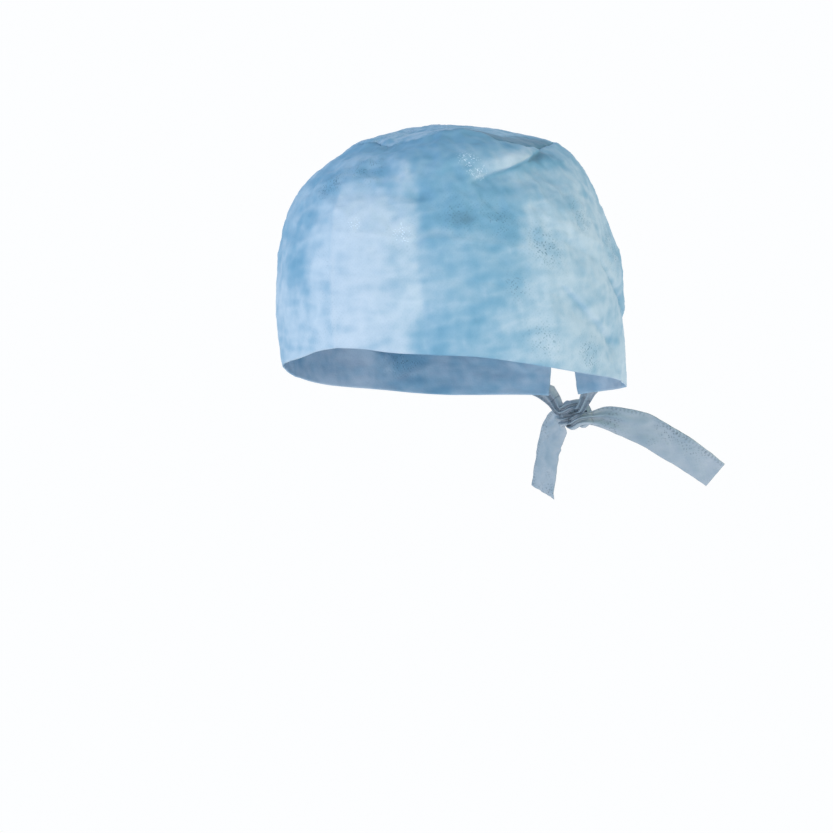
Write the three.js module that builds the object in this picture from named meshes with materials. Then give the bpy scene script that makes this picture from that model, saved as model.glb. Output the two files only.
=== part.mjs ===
// A tie-back scrub cap of thin nonwoven cloth, in the shape that it has on a head, as separate cloth pieces.
// Millimetres. +Z is up through the crown, -Y is the forehead and +X is the wearer's left.
// The origin is the centre of the head opening. Angles go round the cap from the forehead, 0 degrees, to the
// wearer's left, 90, and meet at the nape, 180 or -180.
import * as THREE from "three";

// Driving dimensions.
const CLOTH = 1.2; // thickness of the side panel's and the crown's wall
const TIE_CLOTH = 1.3; // a tie is a strip folded double
const GAP = 0.4; // room between neighbouring pieces
const TIE_WIDTH = 18; // where a tie is flat
const APEX = { x: -14, y: 5, z: 129.5 }; // the crown's highest point, right of the middle of the head
const CROWN_ROUNDNESS = 1.6; // how the crown falls from there: 1 is a cone, 2 is a bowl
const SLIT_HALF_WIDTH = 12; // half of the open slit at the nape, measured at the rim
const SLIT_CLOSED = 0.6; // and where its edges meet
const SLIT_TOP = 0.8; // the edges meet this share of the way up the panel
const SLIT_SPREAD = 0.8; // how the slit opens below there: 1 is a straight V, and less bows its edges in
const KNOT = { y: 107, z: -36, halfX: 10.5, halfY: 7.5, halfZ: 9, facetsRound: 18, facetsUp: 12 };

// How finely the curved walls are faceted.
const COLUMNS = 80;
const ROWS = 14;
const CROWN_RINGS = 5;
const PROFILE_STEPS = 60;

// Level sections of the cap's outside. Each is two half ellipses, and reaches this far to the front, the back
// and each side.
const SECTIONS = [
  { height: -40, front: 99, back: 99, side: 79.5 },
  { height: -10, front: 101.5, back: 102, side: 81 },
  { height: 10, front: 102.5, back: 104.5, side: 82.3 },
  { height: 30, front: 103, back: 107.5, side: 83.3 },
  { height: 52, front: 102, back: 106.5, side: 82.5 },
  { height: 70, front: 98.5, back: 101, side: 79.5 },
  { height: 82, front: 94.5, back: 97.5, side: 76.6 },
  { height: 94, front: 89.5, back: 94, side: 72.4 },
  { height: 106, front: 81.5, back: 88.5, side: 64.5 },
  { height: 113, front: 74, back: 83, side: 57 },
  { height: 118, front: 66, back: 76, side: 49 },
  { height: 121, front: 58.5, back: 70, side: 42.5 },
  { height: 125, front: 44, back: 60, side: 37 },
  { height: 128, front: 35.5, back: 50, side: 35 },
  { height: 132, front: 32, back: 44, side: 33 },
];

// The rim falls from the forehead, over the tops of the ears, to the nape, alike on both sides.
const RIM = [
  { angle: 0, height: 27.2 },
  { angle: 10, height: 25.8 },
  { angle: 20, height: 22.8 },
  { angle: 35, height: 19.4 },
  { angle: 50, height: 15.6 },
  { angle: 70, height: 7.2 },
  { angle: 90, height: -1.4 },
  { angle: 110, height: -8.2 },
  { angle: 140, height: -18 },
  { angle: 180, height: -24 },
];

// The seam that joins the side panel to the crown. It is highest over the left of the forehead, where the
// panel bulges.
const CROWN_SEAM = [
  { angle: -180, height: 113.5 },
  { angle: -140, height: 115 },
  { angle: -90, height: 120.5 },
  { angle: -40, height: 125.5 },
  { angle: 0, height: 127.5 },
  { angle: 35, height: 130 },
  { angle: 60, height: 129 },
  { angle: 85, height: 124 },
  { angle: 110, height: 118 },
  { angle: 140, height: 115 },
  { angle: 180, height: 113.5 },
];

// Folds of the side panel. Each runs in a line between two places on the cap and stands out, or sinks in
// where its depth is negative. Its width is where it has fallen to about a third.
const FOLDS = [
  { fold: "left brow bulge", angle: 24, height: 128, toAngle: 76, toHeight: 125, width: 22, depth: 8 },
  { fold: "roll under the crown", angle: 46, height: 116, toAngle: 112, toHeight: 112, width: 6, depth: 1.8 },
  { fold: "hollow below the roll", angle: 58, height: 104, toAngle: 98, toHeight: 99, width: 9, depth: -3.2 },
  { fold: "left pull to tie", angle: 102, height: 54, toAngle: 130, toHeight: 18, width: 6, depth: -2.2 },
  { fold: "left pull, lower", angle: 80, height: 38, toAngle: 108, toHeight: 8, width: 6, depth: -1.6 },
  { fold: "right pull to tie", angle: -108, height: 52, toAngle: -134, toHeight: 14, width: 6, depth: -2.0 },
  { fold: "right pull, lower", angle: -88, height: 34, toAngle: -116, toHeight: 4, width: 6, depth: -1.4 },
  { fold: "left nape pull", angle: 140, height: 44, toAngle: 166, toHeight: -4, width: 6, depth: -2.2 },
  { fold: "right nape pull", angle: -142, height: 40, toAngle: -166, toHeight: -6, width: 6, depth: -2.2 },
];
const FOLD_RADIUS = 90; // turns a fold's angles into distances on the cap

// The ties, as the middles of the strip's cross-sections. Lean tips the strip's upper edge outwards, in degrees.
const LEFT_TIE = [
  { x: 34, y: 94.6, z: -9, width: TIE_WIDTH, lean: 5 },
  { x: 24, y: 99.4, z: -12, width: TIE_WIDTH, lean: 5 },
  { x: 15, y: 103, z: -19.5, width: 15, lean: 5 },
  { x: 9.2, y: 106.4, z: -29.5, width: 9, lean: 0 },
];
const LEFT_TAIL = [
  { x: 8.2, y: 112.9, z: -37.4, width: 9.5, lean: 0 },
  { x: 18.3, y: 118.4, z: -40.4, width: 16, lean: 0 },
  { x: 32, y: 127.6, z: -47.2, width: TIE_WIDTH, lean: 0 },
  { x: 42, y: 134.5, z: -55.4, width: TIE_WIDTH, lean: 0 },
  { x: 52, y: 141.6, z: -65.4, width: TIE_WIDTH, lean: 0 },
  { x: 62, y: 148.4, z: -77, width: TIE_WIDTH, lean: 0 },
];
const RIGHT_TAIL = [
  { x: -8.2, y: 112.9, z: -37.4, width: 9.5, lean: 0 },
  { x: -17, y: 119, z: -41, width: 16, lean: 4 },
  { x: -27, y: 126, z: -49, width: TIE_WIDTH, lean: 8 },
  { x: -35, y: 133, z: -59, width: TIE_WIDTH, lean: 10 },
  { x: -42.5, y: 139, z: -71, width: TIE_WIDTH, lean: 10 },
  { x: -48.5, y: 144, z: -83.5, width: TIE_WIDTH, lean: 8 },
];
const TIE_STEPS = 14;

const radians = THREE.MathUtils.degToRad;
const mirrored = (stations) => stations.map((station) => ({ ...station, x: -station.x }));

// The value of a table's column at a key between its rows, on a smooth curve through the rows.
function lookUp(table, keyColumn, column, key) {
  const last = table.length - 1;
  let i = table.findIndex((row) => row[keyColumn] > key) - 1;
  if (i < 0) i = key < table[0][keyColumn] ? 0 : last - 1;
  const slope = (a, b) =>
    (table[b][column] - table[a][column]) / (table[b][keyColumn] - table[a][keyColumn]);
  const span = table[i + 1][keyColumn] - table[i][keyColumn];
  const t = (key - table[i][keyColumn]) / span;
  const startSlope = slope(Math.max(i - 1, 0), i + 1) * span;
  const endSlope = slope(i, Math.min(i + 2, last)) * span;
  const from = table[i][column];
  const to = table[i + 1][column];
  return (
    from * (2 * t ** 3 - 3 * t ** 2 + 1) +
    startSlope * (t ** 3 - 2 * t ** 2 + t) +
    to * (3 * t ** 2 - 2 * t ** 3) +
    endSlope * (t ** 3 - t ** 2)
  );
}

const rimHeight = (angle) => lookUp(RIM, "angle", "height", Math.abs(angle));
const seamHeight = (angle) => lookUp(CROWN_SEAM, "angle", "height", angle);

// The point of the cap's unfolded outside at an angle and a height.
function sectionPoint(angle, height) {
  const towardsFront = Math.cos(radians(angle));
  const reach = lookUp(SECTIONS, "height", towardsFront > 0 ? "front" : "back", height);
  const side = lookUp(SECTIONS, "height", "side", height);
  return new THREE.Vector3(side * Math.sin(radians(angle)), -reach * towardsFront, height);
}

// Heights that divide the way up the panel from the rim to the crown seam, at an angle, into equal lengths.
function heightsUp(angle, rows) {
  const from = rimHeight(angle);
  const to = seamHeight(angle);
  const points = [];
  for (let i = 0; i <= PROFILE_STEPS; i++)
    points.push(sectionPoint(angle, from + ((to - from) * i) / PROFILE_STEPS));
  const lengths = [0];
  for (let i = 1; i < points.length; i++)
    lengths.push(lengths[i - 1] + points[i].distanceTo(points[i - 1]));
  return rows.map((share) => {
    const wanted = share * lengths[PROFILE_STEPS];
    const i = Math.min(Math.max(lengths.findIndex((length) => length >= wanted), 1), PROFILE_STEPS);
    const between = (wanted - lengths[i - 1]) / (lengths[i] - lengths[i - 1]);
    return THREE.MathUtils.lerp(points[i - 1].z, points[i].z, between);
  });
}

// How far all the folds together push a place on the panel outwards.
function foldDepth(angle, height) {
  const place = new THREE.Vector2(radians(angle) * FOLD_RADIUS, height);
  let depth = 0;
  for (const fold of FOLDS) {
    const start = new THREE.Vector2(radians(fold.angle) * FOLD_RADIUS, fold.height);
    const run = new THREE.Vector2(radians(fold.toAngle) * FOLD_RADIUS, fold.toHeight).sub(start);
    const share = THREE.MathUtils.clamp(place.clone().sub(start).dot(run) / run.lengthSq(), 0, 1);
    const away = place.distanceTo(start.addScaledVector(run, share));
    depth += fold.depth * Math.exp(-((away / fold.width) ** 2));
  }
  return depth;
}

// The panel's outside at an angle and a height, folds and all.
function foldedPoint(angle, height) {
  const point = sectionPoint(angle, height);
  const outwards = new THREE.Vector3(point.x, point.y, 0).normalize();
  return point.addScaledVector(outwards, foldDepth(angle, height));
}

const shares = (count) => Array.from({ length: count + 1 }, (_, i) => i / count);

// Half of the nape slit's width, as an angle, at a share of the way up from the rim to the crown seam.
function slitHalfAngle(share) {
  const closed = Math.min(1, share / SLIT_TOP) ** SLIT_SPREAD;
  const half = THREE.MathUtils.lerp(SLIT_HALF_WIDTH, SLIT_CLOSED, closed);
  return THREE.MathUtils.radToDeg(half / lookUp(SECTIONS, "height", "back", 0));
}

// Columns of points, each from the rim up to the crown seam, on the outside of the side panel.
function panelColumns() {
  const rows = shares(ROWS);
  return shares(COLUMNS).map((share) => {
    const turn = 2 * share - 1;
    const heights = heightsUp(turn * 180, rows);
    return rows.map((row, i) => foldedPoint(turn * (180 - slitHalfAngle(row)), heights[i]));
  });
}

// The outward normal at each point of a grid of columns, from its neighbours.
function gridNormals(columns) {
  const last = columns.length - 1;
  return columns.map((column, i) =>
    column.map((_, j) => {
      const along = columns[Math.min(i + 1, last)][j].clone().sub(columns[Math.max(i - 1, 0)][j]);
      const up = column[Math.min(j + 1, column.length - 1)].clone().sub(column[Math.max(j - 1, 0)]);
      return along.cross(up).normalize();
    }),
  );
}

// The grid moved inwards along its normals.
function movedIn(columns, distance) {
  const normals = gridNormals(columns);
  return columns.map((column, i) =>
    column.map((point, j) => point.clone().addScaledVector(normals[i][j], -distance)),
  );
}

// A closed wall between an outer and an inner grid of points, both of them lists of columns.
function wallGeometry(outer, inner) {
  const rows = outer[0].length;
  const top = rows - 1;
  const end = outer.length - 1;
  const positions = [...outer.flat(), ...inner.flat()].flatMap((point) => point.toArray());
  const outside = (i, j) => i * rows + j;
  const inside = (i, j) => outer.length * rows + outside(i, j);
  const faces = [];
  const quad = (a, b, c, d) => faces.push(a, b, c, a, c, d);
  for (let i = 0; i < end; i++) {
    for (let j = 0; j < top; j++) {
      quad(outside(i, j), outside(i + 1, j), outside(i + 1, j + 1), outside(i, j + 1));
      quad(inside(i, j), inside(i, j + 1), inside(i + 1, j + 1), inside(i + 1, j));
    }
    quad(inside(i, 0), inside(i + 1, 0), outside(i + 1, 0), outside(i, 0));
    quad(outside(i, top), outside(i + 1, top), inside(i + 1, top), inside(i, top));
  }
  for (let j = 0; j < top; j++) {
    quad(outside(0, j), outside(0, j + 1), inside(0, j + 1), inside(0, j));
    quad(inside(end, j), inside(end, j + 1), outside(end, j + 1), outside(end, j));
  }
  return new THREE.BufferGeometry()
    .setAttribute("position", new THREE.Float32BufferAttribute(positions, 3))
    .setIndex(faces);
}

function sidePanelGeometry() {
  const outer = panelColumns();
  return wallGeometry(outer, movedIn(outer, CLOTH));
}

// The crown lies on the side panel's top edge and rises to the apex. Its rings shrink towards its middle, and
// the last one is a point on each face.
function crownGeometry() {
  const middle = new THREE.Vector3(APEX.x, APEX.y, APEX.z);
  const angles = shares(COLUMNS).slice(0, -1);
  const columns = angles.map((share) => {
    const angle = (2 * share - 1) * 180;
    const edge = foldedPoint(angle, seamHeight(angle));
    return shares(CROWN_RINGS).map((inwards) => {
      const point = edge.clone().lerp(middle, inwards);
      point.z = middle.z - (middle.z - edge.z) * (1 - inwards) ** CROWN_ROUNDNESS + GAP;
      return point;
    });
  });
  return domeGeometry(columns, CLOTH);
}

// A closed domed wall. Its columns lie on its underside, start at the edge and all end at one middle point.
function domeGeometry(columns, thickness) {
  const count = columns.length;
  const rings = columns[0].length - 1;
  const raised = (point) => point.clone().setZ(point.z + thickness);
  const undersides = columns.flatMap((column) => column.slice(0, rings));
  const middle = columns[0][rings];
  const points = [...undersides, ...undersides.map(raised), middle, raised(middle)];
  const under = (i, j) => (i % count) * rings + j;
  const over = (i, j) => count * rings + under(i, j);
  const underMiddle = 2 * count * rings;
  const overMiddle = underMiddle + 1;
  const faces = [];
  const quad = (a, b, c, d) => faces.push(a, b, c, a, c, d);
  for (let i = 0; i < count; i++) {
    for (let j = 0; j < rings - 1; j++) {
      quad(over(i, j), over(i + 1, j), over(i + 1, j + 1), over(i, j + 1));
      quad(under(i, j), under(i, j + 1), under(i + 1, j + 1), under(i + 1, j));
    }
    faces.push(over(i, rings - 1), over(i + 1, rings - 1), overMiddle);
    faces.push(under(i + 1, rings - 1), under(i, rings - 1), underMiddle);
    quad(under(i, 0), under(i + 1, 0), over(i + 1, 0), over(i, 0));
  }
  const positions = points.flatMap((point) => point.toArray());
  return new THREE.BufferGeometry()
    .setAttribute("position", new THREE.Float32BufferAttribute(positions, 3))
    .setIndex(faces);
}

// A strip of cloth through its stations. Its width stands upright, square to its run, and leans about it.
function stripGeometry(stations) {
  const route = new THREE.CatmullRomCurve3(stations.map(({ x, y, z }) => new THREE.Vector3(x, y, z)));
  const rows = stations.map((station, index) => ({ ...station, index }));
  const up = new THREE.Vector3(0, 0, 1);
  const front = [];
  const back = [];
  for (let i = 0; i <= TIE_STEPS; i++) {
    const share = i / TIE_STEPS;
    const place = share * (rows.length - 1);
    const half = lookUp(rows, "index", "width", place) / 2;
    const run = route.getTangent(share);
    const across = up.clone().addScaledVector(run, -up.dot(run)).normalize();
    across.applyAxisAngle(run, radians(lookUp(rows, "index", "lean", place)));
    const normal = across.clone().cross(run).normalize();
    const middle = route.getPoint(share);
    const edges = [-half, half].map((reach) => middle.clone().addScaledVector(across, reach));
    front.push(edges.map((edge) => edge.clone().addScaledVector(normal, -TIE_CLOTH / 2)));
    back.push(edges.map((edge) => edge.clone().addScaledVector(normal, TIE_CLOTH / 2)));
  }
  return wallGeometry(front, back);
}

function knotGeometry() {
  const { y, z, halfX, halfY, halfZ, facetsRound, facetsUp } = KNOT;
  return new THREE.SphereGeometry(1, facetsRound, facetsUp).scale(halfX, halfY, halfZ).translate(0, y, z);
}

// A named piece with a material of its own.
function piece(name, geometry, { color, roughness }) {
  const mesh = new THREE.Mesh(geometry, new THREE.MeshStandardMaterial({ color, roughness, metalness: 0 }));
  mesh.name = name;
  return mesh;
}

const CAP_CLOTH = { color: 0x9dbed6, roughness: 0.8 };
const TIE_STRIP = { color: 0xa9b8c3, roughness: 0.85 };

const cap = new THREE.Group();
cap.add(
  piece("side_panel", sidePanelGeometry(), CAP_CLOTH),
  piece("crown_panel", crownGeometry(), CAP_CLOTH),
  piece("tie_left", stripGeometry(LEFT_TIE), TIE_STRIP),
  piece("tie_right", stripGeometry(mirrored(LEFT_TIE).reverse()), TIE_STRIP),
  piece("nape_knot", knotGeometry(), TIE_STRIP),
  piece("tail_left", stripGeometry(LEFT_TAIL), TIE_STRIP),
  piece("tail_right", stripGeometry([...RIGHT_TAIL].reverse()), TIE_STRIP),
);

export default cap;
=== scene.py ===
"""A tie-back scrub cap of thin nonwoven cloth, in the form that it has on a head.

The cap is made of a side panel, an oval crown, and two straps that are knotted at the nape. Tables and
reliefs are in millimetres, and meshes in metres. +Z is up, -Y is the forehead and +X is the wearer's left.
Angles, in degrees, go round the cap from the forehead to the wearer's left and meet at the nape.
"""

import math

import bpy
import numpy as np
from mathutils import Matrix, Vector, noise
from mathutils.bvhtree import BVHTree


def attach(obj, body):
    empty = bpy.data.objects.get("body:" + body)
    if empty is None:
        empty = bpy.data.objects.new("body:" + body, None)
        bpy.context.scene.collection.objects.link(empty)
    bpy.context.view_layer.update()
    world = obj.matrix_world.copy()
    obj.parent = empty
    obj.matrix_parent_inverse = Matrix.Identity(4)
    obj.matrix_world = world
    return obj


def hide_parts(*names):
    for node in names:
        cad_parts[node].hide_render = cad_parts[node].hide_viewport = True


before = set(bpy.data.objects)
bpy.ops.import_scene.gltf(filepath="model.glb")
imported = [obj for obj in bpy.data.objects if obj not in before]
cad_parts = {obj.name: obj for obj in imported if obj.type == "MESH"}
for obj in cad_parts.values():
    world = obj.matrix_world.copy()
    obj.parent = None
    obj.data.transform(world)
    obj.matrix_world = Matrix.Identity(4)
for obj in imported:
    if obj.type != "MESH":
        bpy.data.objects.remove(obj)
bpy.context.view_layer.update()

bl_info = {
    "name": "Tie-back scrub cap",
    "version": (1, 0, 0),
    "blender": (4, 5, 0),
    "location": "View3D > Sidebar > Scrub Cap",
    "description": "Makes a worn tie-back scrub cap of nonwoven cloth, piece by piece",
    "category": "Object",
}

MM = 0.001


class Rows:
    """A short table with named columns."""

    def __init__(self, columns, *rows):
        self.columns = {name: np.array(column, float) for name, column in zip(columns.split(), zip(*rows))}

    def __getitem__(self, name):
        return self.columns[name]

    def __iter__(self):
        return (dict(zip(self.columns, row)) for row in zip(*self.columns.values()))

    def at(self, key, column, place):
        """The column's value where the key is at a place, on a smooth curve through the rows."""
        keys, values = self[key], self[column]
        last = len(keys) - 1
        i = np.clip(np.searchsorted(keys, place, side="right") - 1, 0, last - 1)
        before, after = np.maximum(i - 1, 0), np.minimum(i + 2, last)
        span = keys[i + 1] - keys[i]
        start = (values[i + 1] - values[before]) / (keys[i + 1] - keys[before]) * span
        end = (values[after] - values[i]) / (keys[after] - keys[i]) * span
        t = (place - keys[i]) / span
        return (
            values[i] * (2 * t**3 - 3 * t**2 + 1)
            + start * (t**3 - 2 * t**2 + t)
            + values[i + 1] * (3 * t**2 - 2 * t**3)
            + end * (t**3 - t**2)
        )


# Level sections of the cap's outside: how far each reaches to the front, the back and each side.
SECTIONS = Rows(
    "height front back side",
    (-40, 99, 99, 79.5),
    (-10, 101.5, 102, 81),
    (10, 102.5, 104.5, 82.3),
    (30, 103, 107.5, 83.3),
    (52, 102, 106.5, 82.5),
    (70, 98.5, 101, 79.5),
    (82, 94.5, 97.5, 76.6),
    (94, 89.5, 94, 72.4),
    (106, 81.5, 88.5, 64.5),
    (113, 74, 83, 57),
    (118, 66, 76, 49),
    (121, 58.5, 70, 42.5),
    (125, 44, 60, 37),
    (128, 35.5, 50, 35),
    (132, 32, 44, 33),
)
RIM = Rows(
    "angle height",
    (0, 27.2), (10, 25.8), (20, 22.8), (35, 19.4), (50, 15.6),
    (70, 7.2), (90, -1.4), (110, -8.2), (140, -18), (180, -24),
)
CROWN_SEAM = Rows(
    "angle height",
    (-180, 113.5), (-140, 115), (-90, 119.8), (-62, 123.8), (-36, 126.6), (-18, 127.2),
    (-7, 125.6), (2, 124.6), (11, 124.6), (20, 125.3), (30, 126.8), (40, 128.3),
    (50, 128.8), (60, 128), (72, 125), (80, 121.6), (88, 118.2), (95, 116),
    (103, 115.2), (112, 115.2), (140, 115), (180, 113.5),
)
APEX = np.array((-10.0, 5.0, 130.5))
CROWN_ROUNDNESS = 1.85
CROWN_FLAT_TOP = 0.004  # keeps the crown from coming to a point
CROWN_CROSS_CREASE = 34.0  # how far back the packing crease across the crown lies
SLIT = {"half_width": 12.0, "closed": 0.03, "top": 0.8, "spread": 0.8}
FOLD_RADIUS = 90.0  # turns an angle round the cap into a distance along the cloth
ALLOWANCE_DEPTHS = (1.6, 3.4, 5.5)  # rows of the cloth's edge that is turned down inside the crown seam
CROWN_MAP_SHIFT = 150.0  # keeps the crown's places on its cloth above 0
CROWN_TUCK = 0.9  # how far the crown's turned edge lies inside the panel's
PACKING_CREASE_WIDTH = 0.9
HEIGHT_SAMPLES = 61  # for measuring along the panel's columns

# Soft folds that the head, the knot and slack cloth make: from one place on the panel to another.
SOFT_FOLDS = Rows(
    "angle height to_angle to_height width depth",
    (34, 128, 76, 125, 20, 9),  # the panel bulges over the left brow and hides the crown
    (-62, 128, -18, 130, 6, 6.5),  # and over the right brow
    (46, 116, 98, 113, 7, 1.8),  # a roll under the crown
    (58, 104, 92, 100, 9, -3.0),  # the hollow below that roll
    (102, 54, 130, 18, 8, -1.6),  # pulls towards the knot
    (80, 38, 108, 8, 6, -1.6),
    (-108, 52, -134, 14, 6, -2.0),
    (-88, 34, -116, 4, 6, -1.4),
    (140, 44, 166, -4, 6, -2.2),
    (-142, 40, -166, -6, 6, -2.2),
)
# Narrow creases in the cloth itself. Tone is how pale the cloth is painted there: painted light on bright
# facets, above 0, and painted shade in hollows, below 0.
CREASES = Rows(
    "angle height to_angle to_height width depth tone",
    (104, 54, 114, 39, 1.3, -1.3, -0.7),
    (113, 40, 126, 27, 1.3, -1.2, -0.5),
    (101, 57, 125, 30, 2.0, 0.9, 0.25),
    (80, 45, 93, 26, 1.5, -1.0, -0.45),
    (93, 26, 110, 7, 1.5, -1.0, -0.3),
    (79, 48, 106, 13, 2.0, 0.7, 0.2),
    (83, 68, 105, 53, 2.4, -0.8, -0.25),
    (86, 74, 108, 60, 2.6, 0.7, 0.2),
    (112, 44, 150, 2, 2.0, -1.3, -0.4),
    (122, 62, 152, 18, 2.4, 1.0, 0.3),
    (130, 30, 164, -8, 1.8, 1.1, 0.3),
    (136, 18, 162, -14, 1.8, -1.2, -0.4),
    (138, 66, 168, 26, 2.6, -1.2, -0.3),
    (150, 92, 176, 52, 3.0, 1.0, 0.2),
    (-104, 56, -128, 26, 1.8, -1.6, -0.5),
    (-84, 40, -112, 8, 1.6, -1.0, -0.3),
    (-116, 40, -150, 0, 2.0, 1.1, 0.3),
    (-126, 64, -156, 20, 2.4, -1.1, -0.3),
    (-134, 28, -166, -10, 1.8, -1.2, -0.4),
    (-140, 78, -170, 34, 3.0, 1.0, 0.2),
    (-58, 104, -112, 98, 3.2, -1.6, -0.3),
    (-62, 112, -108, 106, 3.0, 1.2, 0.4),
    (-30, 112, -10, 96, 3.0, -0.9, -0.2),
    (-22, 106, 6, 92, 2.6, 0.8, 0.15),
    (18, 119, 44, 110, 3.0, 0.8, 0.1),
    (8, 104, 40, 97, 2.6, -0.8, -0.15),
    (140, 104, 172, 92, 3.0, -1.4, -0.3),
    (-140, 102, -172, 95, 3.0, -1.4, -0.3),
)
# The pleat at the left shoulder: a flat fold that widens from its tip, behind, to its crushed front end.
# The line is its lower edge, which stands proud of the hollow under it.
# Pale sets the painted highlight on the pleat's facet, and shade the painted shade in its hollow and along
# its edge.
PLEAT = {
    "tip": (103, 115), "end": (54, 102.6), "narrow": 3.2, "wide": 6.6,
    "rise": 1.7, "hollow": 1.9, "pale": 0.72, "shade": 0.5,
}
# The facets between the packing creases are painted paler or deeper: painted light where the tone is above
# 0, and painted shade below. Each reaches from one angle to another, and from one height above the rim to
# another, with edges this soft.
FACETS = Rows(
    "angle to_angle low high soft to_soft tone",
    (-1, 30, -20, 70, 1.4, 12, 0.7),
    (-2, 24, 66, 84, 4, 8, 0.2),
    (-14, -1, 46, 64, 5, 2, 0.45),
    (-13, -1, -20, 46, 6, 2, 0.4),
    (-50, -14, 36, 84, 9, 7, -0.28),
    (-34, -14, -20, 40, 9, 5, 0.35),
    (-62, -32, 20, 78, 9, 9, 0.3),
    (16, 30, -20, 26, 6, 6, -0.28),
    (-26, 20, 78, 108, 9, 8, -0.22),
    (27, 45, 22, 66, 4, 11, 0.16),
    (22, 33, 78, 100, 4, 4, 0.12),
    (28, 57, -20, 24, 7, 7, -0.45),
    (33, 66, 40, 60, 5, 7, -0.5),
    (31, 66, 62, 108, 5, 8, -0.75),
    (30, 62, 22, 40, 6, 8, -0.42),
    (62, 100, 84, 112, 8, 8, -0.3),
    (68, 126, -20, 112, 14, 9, 0.34),
    (84, 104, 60, 84, 8, 8, 0.2),
    (-40, 104, 112, 160, 9, 8, -0.9),
    (104, 150, 100, 160, 10, 10, -0.3),
    (122, 160, 34, 92, 7, 7, -0.4),
    (112, 160, -20, 28, 6, 6, 0.25),
    (160, 200, 10, 70, 6, 6, 0.25),
    (-70, -34, 84, 126, 8, 7, 0.15),
    (-82, -60, 20, 58, 6, 6, -0.12),
    (-112, -82, -20, 60, 7, 7, 0.35),
    (-112, -70, 64, 104, 8, 8, -0.35),
    (-158, -112, -20, 40, 7, 7, -0.25),
    (-158, -112, 60, 110, 7, 7, 0.3),
    (-200, -158, 20, 84, 7, 7, -0.2),
)
# Where crushed cloth shows its bonding dots: dark ones, with painted shade on their crinkles, and pale
# painted glints where the strength is below 0. The tone paints light and shade round each patch.
DOT_PATCHES = Rows(
    "angle above_rim radius strength tone",
    (-9, 88, 8, 2.6, -0.45),
    (4, 96, 7, 0.7, -0.2),
    (12, 98, 10, 0.8, -0.2),
    (56, 101, 8, -1.0, 0.3),
    (8, 63, 4, -1.0, 0.35),
    (26, 61, 6, -1.0, 0.3),
    (46, 72, 9, 0.6, -0.35),
    (60, 72, 9, 0.7, -0.35),
    (76, 62, 9, 1.0, -0.3),
    (91, 11, 8, 1.0, -0.3),
    (63, 38, 6, 0.7, -0.3),
    (98, 84, 9, 0.7, -0.2),
    (-8, 18, 13, -0.3, 0.2),
    (-8, 40, 9, -0.3, 0.2),
    (70, 14, 9, 0.6, 0.1),
    (118, 70, 12, 0.7, -0.25),
    (140, 20, 10, -0.8, 0.2),
    (166, 50, 11, 0.6, -0.2),
    (-60, 92, 12, 0.9, -0.3),
    (-84, 44, 11, -0.7, 0.3),
    (-120, 20, 10, 0.8, -0.3),
    (-146, 78, 12, -0.7, 0.2),
)
# Where the cap was folded flat in its pack: lines up the panel, and lines round it above the rim.
UPRIGHT_CREASES = Rows(
    "angle depth facet",
    (-158, 0.30, 0.5),
    (-112, -0.25, -0.5),
    (-68, 0.25, 0.5),
    (-23, -0.30, -0.8),
    (-1, 0.35, 0.9),
    (31, -0.20, -0.9),
    (74, 0.25, 0.6),
    (118, -0.25, -0.5),
    (160, 0.30, 0.5),
)
LEVEL_CREASES = Rows(
    "above_rim angle to_angle depth facet",
    (27, -60, 85, 0.22, 0.3),
    (38, -50, 100, -0.22, -0.3),
    (58.5, -55, 75, 0.40, 0.9),
    (60, 100, 175, 0.25, 0.5),
    (58, -175, -95, 0.25, 0.5),
)

STRAP_WIDTH = 18.0
POINTS_ACROSS, SECTION_SPACING = 31, 0.9
EDGE_SQUARENESS = 9
STRAP_CLEARANCE = 0.38  # between the straps and the panel that they lie on
KNOT_REACH = 11.0  # sections that stay nearer the middle than this belong to the knot
LIES_FREE, LIES_FLAT = 13.0, 20.0  # from one reach to the other, a strap comes to lie on the panel
RAY_START = 60.0  # inside the panel, all the way round
BAR_PITCH, DOT_DRIFT = 0.0021, 0.0034  # between a weld's bars, and how far rows of dots wander, in metres
# How bright painted shade in hollows, dark dots, welds and painted glints are beside the cloth's own
# colours.
PAINTED_HOLLOW_SHADE, DARK_DOT, WELD, GLINT = 0.66, 0.55, 0.5, 1.35

# The middle of each strap, from its end on the panel, through the knot, to its loose end. Gathered is 0
# where it is flat and 1 where it is pleated to a bunch. The knot's stations are measured from its middle.
STATION = "x y z width lean gathered"
KNOT_MIDDLE = np.array((0.0, 107.0, -36.0))
STRAP_START = Rows(
    STATION,
    (36, 93.6, -8.2, 18, 5, 0),
    (24, 99.6, -12, 18, 5, 0.1),
    (15.5, 103, -19.5, 13, 5, 0.6),
    (10.5, 105.2, -27, 8.5, 0, 1),
)


def knot_route(going, returning):
    """A strap's loop through the knot, which crosses the middle at these y and z going and returning."""
    return Rows(
        STATION,
        (6.4, -2.0, 3.0, 6.4, 0, 1),
        (0, *going, 6.2, 0, 1),
        (-4.6, 2.6, 4.6, 6.4, 0, 1),
        (-6.9, 3.0, 0, 6.6, 0, 1),
        (-4.6, 2.6, -4.6, 6.4, 0, 1),
        (0, *returning, 6.2, 0, 1),
        (5.6, -2.0, -2.6, 6.4, 0, 1),
    )


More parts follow.
